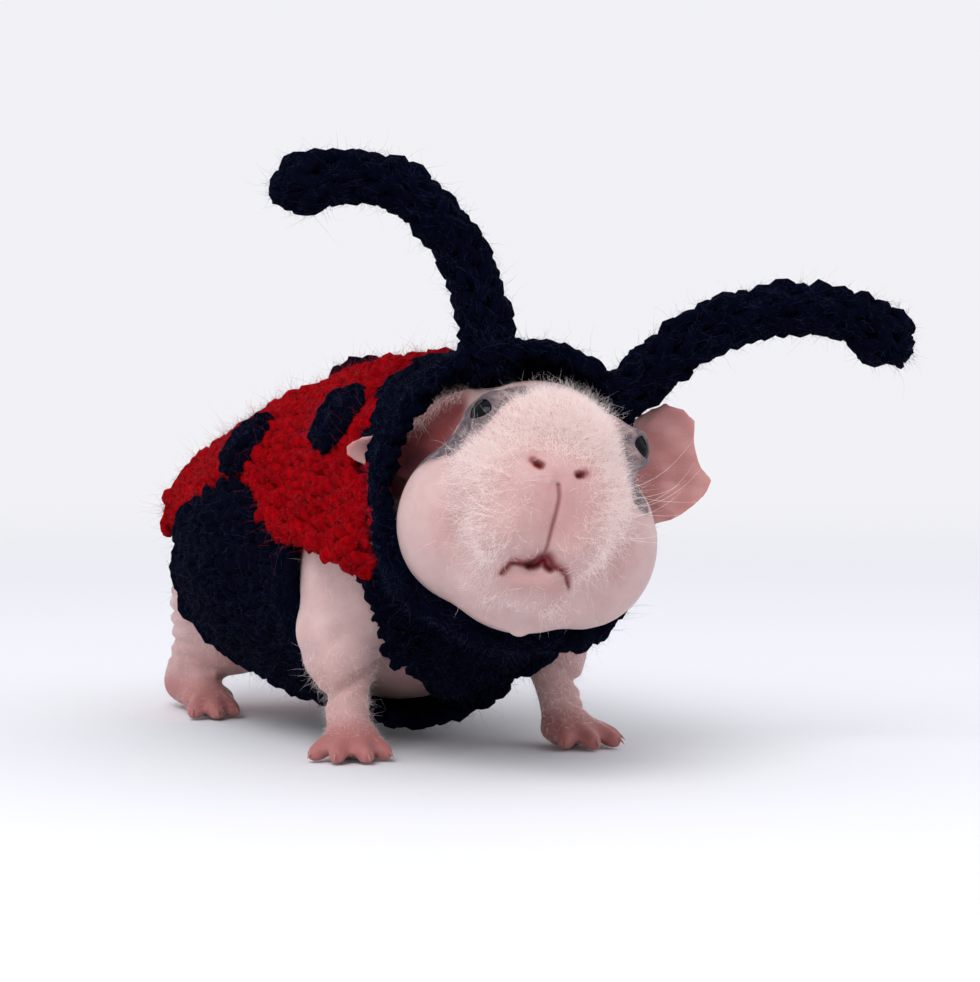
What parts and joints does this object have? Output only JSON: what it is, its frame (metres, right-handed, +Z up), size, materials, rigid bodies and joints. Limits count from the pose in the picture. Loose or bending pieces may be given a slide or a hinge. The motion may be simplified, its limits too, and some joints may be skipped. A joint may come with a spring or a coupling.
{
  "type": "skinny pig in ladybird costume",
  "caption": "Hairless guinea pig standing on all fours in a crocheted ladybird costume: hood with antennae, bib, belly wrap and spotted wing cover.",
  "frame": {"origin": "on the floor, under the middle of the whole figure's bounding box", "axes": "+Z up, -Y the way the body faces, +X to the animal's left"},
  "size_m": [0.1391, 0.2331, 0.1429],
  "materials": {
    "skin": "bare pink skin",
    "eye": "wet gloss",
    "black_wool": "fluffy crocheted yarn",
    "red_wool": "fluffy crocheted yarn"
  },
  "bodies": {
    "root": {"head": "skin", "neck": "skin", "torso": "skin", "foreleg_left": "skin", "foreleg_right": "skin", "forefoot_left": "skin", "forefoot_right": "skin", "hindleg_left": "skin", "hindleg_right": "skin", "hindfoot_left": "skin", "hindfoot_right": "skin", "ear_left": "skin", "ear_right": "skin", "eye_left": "eye", "eye_right": "eye", "hood": "black_wool", "bib": "black_wool", "belly_wrap": "black_wool", "wing_cover": "red_wool", "antenna_left": "black_wool", "antenna_right": "black_wool", "spot_1": "black_wool", "spot_2": "black_wool", "spot_3": "black_wool", "spot_4": "black_wool", "spot_5": "black_wool", "spot_6": "black_wool"}
  },
  "joints": []
}
